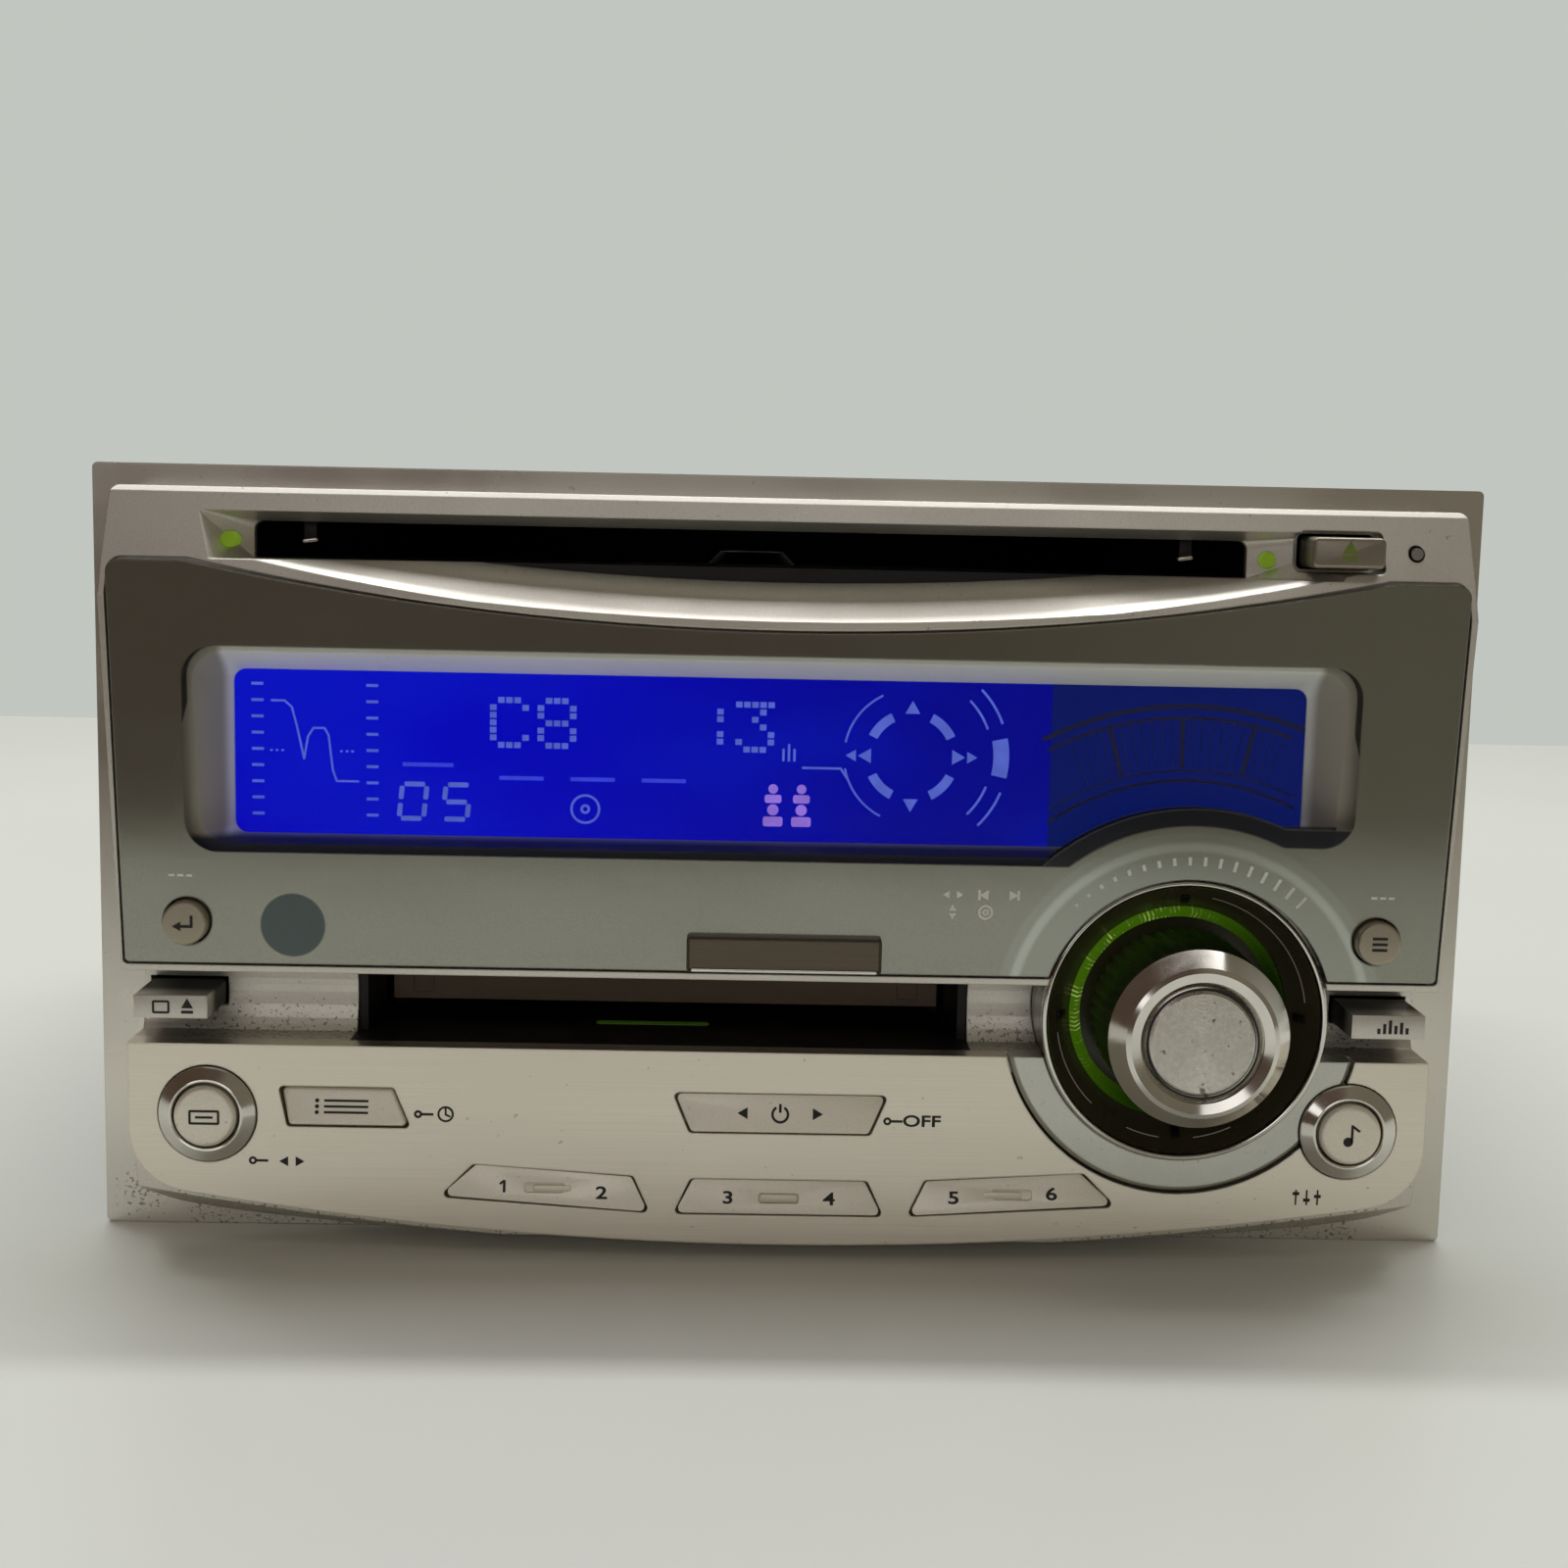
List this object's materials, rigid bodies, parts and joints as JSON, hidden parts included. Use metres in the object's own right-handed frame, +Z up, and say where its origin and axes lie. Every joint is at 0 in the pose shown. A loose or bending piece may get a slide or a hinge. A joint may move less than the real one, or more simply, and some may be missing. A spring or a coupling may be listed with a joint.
{
  "type": "car disc and cartridge player",
  "caption": "Double-height dashboard audio unit with a slot for discs, a flapped slot for small cartridges, a lit display behind a tinted window, press keys and a tilting rotary knob.",
  "frame": {"origin": "middle of the underside of the whole unit", "axes": "the front faces -Y, +X is to the right as seen from the front, +Z is up"},
  "size_m": [0.178, 0.189, 0.1],
  "materials": {
    "satin_silver": "satin silver paint",
    "brushed_silver": "brushed",
    "key_silver": "satin silver paint",
    "bright_trim": "polished",
    "spun_cap": "spun",
    "grip_black": "matt",
    "well_black": "matt",
    "lit_green": "translucent",
    "tinted_window": "clear tinted",
    "frame_pale": "satin",
    "lit_blue": "lit",
    "light_box": "matt",
    "badge_grey": "satin",
    "sensor_dark": "gloss",
    "slot_black": "matt",
    "flap_grey": "satin",
    "board_green": "satin",
    "switch_black": "matt",
    "steel_rod": "turned",
    "encoder_body": "matt",
    "sheet_metal": "galvanised",
    "sink_black": "anodised",
    "plated_brass": "plated",
    "mech_dark": "matt"
  },
  "bodies": {
    "chassis": {"flange_plate": "satin_silver", "front_bezel": "satin_silver", "lower_panel": "brushed_silver", "knob_crescent": "satin_silver", "knob_well": "well_black", "well_ring": "bright_trim", "light_ring": "lit_green", "display_window": "tinted_window", "display_frame": "frame_pale", "lcd_panel": "lit_blue", "lcd_backlight": "light_box", "badge_plate": "badge_grey", "remote_sensor": "sensor_dark", "button_rings": "bright_trim", "slot_lamps": "lit_green", "disc_slot_liner": "slot_black", "cartridge_slot_frame": "slot_black", "key_board": "board_green", "key_switches": "switch_black", "flap_pin": "steel_rod", "bottom_plate": "sheet_metal", "left_side_plate": "sheet_metal", "right_side_plate": "sheet_metal", "top_cover": "sheet_metal", "rear_panel": "sheet_metal", "heat_sink": "sink_black", "rear_stud": "plated_brass", "main_board": "board_green", "aerial_socket": "plated_brass", "power_socket": "switch_black", "line_sockets": "plated_brass", "case_screws": "steel_rod", "disc_frame": "sheet_metal", "cartridge_frame": "sheet_metal"},
    "disc_eject_key_body": {"disc_eject_key": "key_silver"},
    "reset_pin_body": {"reset_pin": "slot_black"},
    "enter_key_body": {"enter_key": "key_silver"},
    "function_key_body": {"function_key": "key_silver"},
    "cartridge_eject_key_body": {"cartridge_eject_key": "key_silver"},
    "sound_key_body": {"sound_key": "key_silver"},
    "display_key_body": {"display_key": "key_silver"},
    "info_key_body": {"info_key": "key_silver"},
    "source_key_body": {"source_key": "key_silver"},
    "audio_key_body": {"audio_key": "key_silver"},
    "preset_key_1_2_body": {"preset_key_1_2": "key_silver"},
    "preset_key_3_4_body": {"preset_key_3_4": "key_silver"},
    "preset_key_5_6_body": {"preset_key_5_6": "key_silver"},
    "flap": {"cartridge_flap": "flap_grey"},
    "gimbal": {"gimbal_ring": "steel_rod"},
    "cradle": {"encoder_cradle": "encoder_body"},
    "pusher": {"push_sleeve": "encoder_body"},
    "knob": {"encoder_shaft": "steel_rod", "knob_body": "bright_trim", "knob_grip": "grip_black", "knob_cap": "spun_cap"},
    "roller": {"loading_roller": "grip_black"},
    "turntable": {"disc_turntable": "mech_dark"},
    "pickup": {"disc_pickup": "mech_dark"},
    "feed_screw": {"disc_feed_screw": "steel_rod"},
    "spindle": {"cartridge_spindle": "mech_dark"}
  },
  "joints": [
    {"name": "disc_eject_key_press", "type": "slide", "parent": "chassis", "child": "disc_eject_key_body", "axis": [0, 1, 0], "range_m": [0, 0.0008], "stiffness_N_per_m": 800},
    {"name": "reset_pin_press", "type": "slide", "parent": "chassis", "child": "reset_pin_body", "axis": [0, 1, 0], "range_m": [0, 0.0008], "stiffness_N_per_m": 800},
    {"name": "enter_key_press", "type": "slide", "parent": "chassis", "child": "enter_key_body", "axis": [0, 1, 0], "range_m": [0, 0.0008], "stiffness_N_per_m": 800},
    {"name": "function_key_press", "type": "slide", "parent": "chassis", "child": "function_key_body", "axis": [0, 1, 0], "range_m": [0, 0.0008], "stiffness_N_per_m": 800},
    {"name": "cartridge_eject_key_press", "type": "slide", "parent": "chassis", "child": "cartridge_eject_key_body", "axis": [0, 1, 0], "range_m": [0, 0.0008], "stiffness_N_per_m": 800},
    {"name": "sound_key_press", "type": "slide", "parent": "chassis", "child": "sound_key_body", "axis": [0, 1, 0], "range_m": [0, 0.0008], "stiffness_N_per_m": 800},
    {"name": "display_key_press", "type": "slide", "parent": "chassis", "child": "display_key_body", "axis": [0, 1, 0], "range_m": [0, 0.0008], "stiffness_N_per_m": 800},
    {"name": "info_key_press", "type": "slide", "parent": "chassis", "child": "info_key_body", "axis": [0, 1, 0], "range_m": [0, 0.0008], "stiffness_N_per_m": 800},
    {"name": "source_key_press", "type": "slide", "parent": "chassis", "child": "source_key_body", "axis": [0, 1, 0], "range_m": [0, 0.0008], "stiffness_N_per_m": 800},
    {"name": "audio_key_press", "type": "slide", "parent": "chassis", "child": "audio_key_body", "axis": [0, 1, 0], "range_m": [0, 0.0008], "stiffness_N_per_m": 800},
    {"name": "preset_key_1_2_rock", "type": "hinge", "parent": "chassis", "child": "preset_key_1_2_body", "pos_m": [-0.03, -0.08005, 0.01], "axis": [0, 0, 1], "range_deg": [-3, 3], "stiffness_Nm_per_rad": 0.3},
    {"name": "preset_key_3_4_rock", "type": "hinge", "parent": "chassis", "child": "preset_key_3_4_body", "pos_m": [0, -0.08005, 0.01], "axis": [0, 0, 1], "range_deg": [-3, 3], "stiffness_Nm_per_rad": 0.3},
    {"name": "preset_key_5_6_rock", "type": "hinge", "parent": "chassis", "child": "preset_key_5_6_body", "pos_m": [0.03, -0.08005, 0.01], "axis": [0, 0, 1], "range_deg": [-3, 3], "stiffness_Nm_per_rad": 0.3},
    {"name": "flap_swing", "type": "hinge", "parent": "chassis", "child": "flap", "pos_m": [-0.0154, -0.06505, 0.03425], "axis": [1, 0, 0], "range_deg": [0, 85], "stiffness_Nm_per_rad": 0.003},
    {"name": "knob_tilt_sideways", "type": "hinge", "parent": "chassis", "child": "gimbal", "pos_m": [0.051, -0.07005, 0.0325], "axis": [0, 0, 1], "range_deg": [-3.5, 3.5], "stiffness_Nm_per_rad": 0.5},
    {"name": "knob_tilt_upright", "type": "hinge", "parent": "gimbal", "child": "cradle", "pos_m": [0.051, -0.07005, 0.0325], "axis": [1, 0, 0], "range_deg": [-3.5, 3.5], "stiffness_Nm_per_rad": 0.5},
    {"name": "knob_push", "type": "slide", "parent": "cradle", "child": "pusher", "axis": [0, 1, 0], "range_m": [0, 0.001], "stiffness_N_per_m": 1500},
    {"name": "knob_turn", "type": "hinge", "parent": "pusher", "child": "knob", "pos_m": [0.051, -0.08105, 0.0325], "axis": [0, 1, 0], "continuous": true},
    {"name": "roller_turn", "type": "hinge", "parent": "chassis", "child": "roller", "pos_m": [-0.0049, -0.05405, 0.0844], "axis": [1, 0, 0], "continuous": true},
    {"name": "turntable_turn", "type": "hinge", "parent": "chassis", "child": "turntable", "pos_m": [-0.0049, 0.01095, 0.08], "axis": [0, 0, 1], "continuous": true},
    {"name": "pickup_slide", "type": "slide", "parent": "chassis", "child": "pickup", "axis": [1, 0, 0], "range_m": [0, 0.024]},
    {"name": "feed_screw_turn", "type": "hinge", "parent": "chassis", "child": "feed_screw", "pos_m": [-0.0049, 0.02995, 0.077], "axis": [1, 0, 0], "continuous": true},
    {"name": "spindle_turn", "type": "hinge", "parent": "chassis", "child": "spindle", "pos_m": [-0.0154, -0.02055, 0.02], "axis": [0, 0, 1], "continuous": true}
  ],
  "couplings": [
    {"joint": "feed_screw_turn", "follows": "pickup_slide", "rad_per_m": 2094.4}
  ]
}
